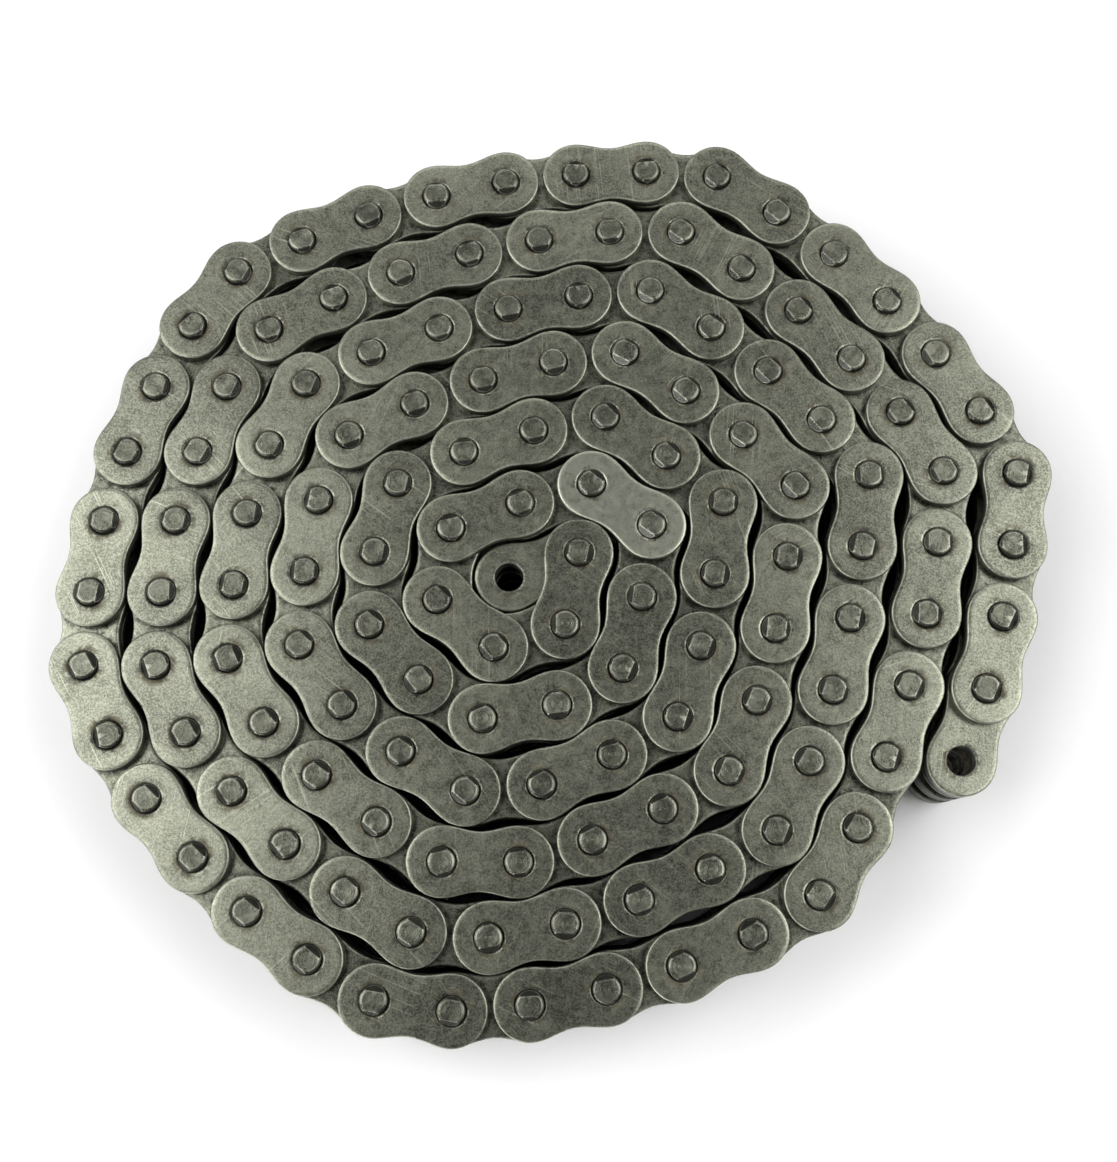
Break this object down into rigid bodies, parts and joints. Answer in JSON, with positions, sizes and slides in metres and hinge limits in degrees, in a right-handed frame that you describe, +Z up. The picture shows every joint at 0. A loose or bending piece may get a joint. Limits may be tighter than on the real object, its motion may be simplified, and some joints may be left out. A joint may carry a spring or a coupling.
{
  "type": "leaf chain coil",
  "caption": "Length of lift truck leaf chain, made of flat steel plates on riveted pins, wound into a flat spiral coil, with an open clevis hole at each end.",
  "frame": {"origin": "on the surface the coil lies on, under the middle of its box", "axes": "+Z up along the chain's pins; +X along the coil's longer side, towards the edge where the free end lies"},
  "size_m": [0.214, 0.1974, 0.0321],
  "materials": {
    "plate_steel": "oiled, dull, with worn bright edges",
    "pin_steel": "dull, with bright riveted edges"
  },
  "bodies": {
    "coil": {"cover_plates_top": "plate_steel", "cover_plates_bottom": "plate_steel", "inner_plates_1": "plate_steel", "inner_plates_2": "plate_steel", "inner_plates_3": "plate_steel", "inner_plates_4": "plate_steel", "inner_plates_5": "plate_steel", "inner_plates_6": "plate_steel", "middle_plates_1": "plate_steel", "middle_plates_2": "plate_steel", "middle_plates_3": "plate_steel", "middle_plates_4": "plate_steel", "centre_end_plate_1": "plate_steel", "centre_end_plate_2": "plate_steel", "centre_end_plate_3": "plate_steel", "centre_end_plate_4": "plate_steel", "centre_end_plate_5": "plate_steel", "centre_end_plate_6": "plate_steel", "centre_end_pin": "pin_steel"},
    "tail_link": {"tail_cover_plate_top": "plate_steel", "tail_cover_plate_bottom": "plate_steel", "tail_middle_plate_1": "plate_steel", "tail_middle_plate_2": "plate_steel", "tail_middle_plate_3": "plate_steel", "tail_middle_plate_4": "plate_steel", "tail_link_pin": "pin_steel", "free_end_pin": "pin_steel"},
    "free_end": {"free_end_plate_1": "plate_steel", "free_end_plate_2": "plate_steel", "free_end_plate_3": "plate_steel", "free_end_plate_4": "plate_steel", "free_end_plate_5": "plate_steel", "free_end_plate_6": "plate_steel"}
  },
  "joints": [
    {"name": "tail_link_hinge", "type": "hinge", "parent": "coil", "child": "tail_link", "pos_m": [0.09465, -0.01072, 0], "axis": [0, 0, 1], "range_deg": [0, 75]},
    {"name": "free_end_hinge", "type": "hinge", "parent": "tail_link", "child": "free_end", "pos_m": [0.09037, -0.02601, 0], "axis": [0, 0, 1], "range_deg": [0, 75]}
  ]
}
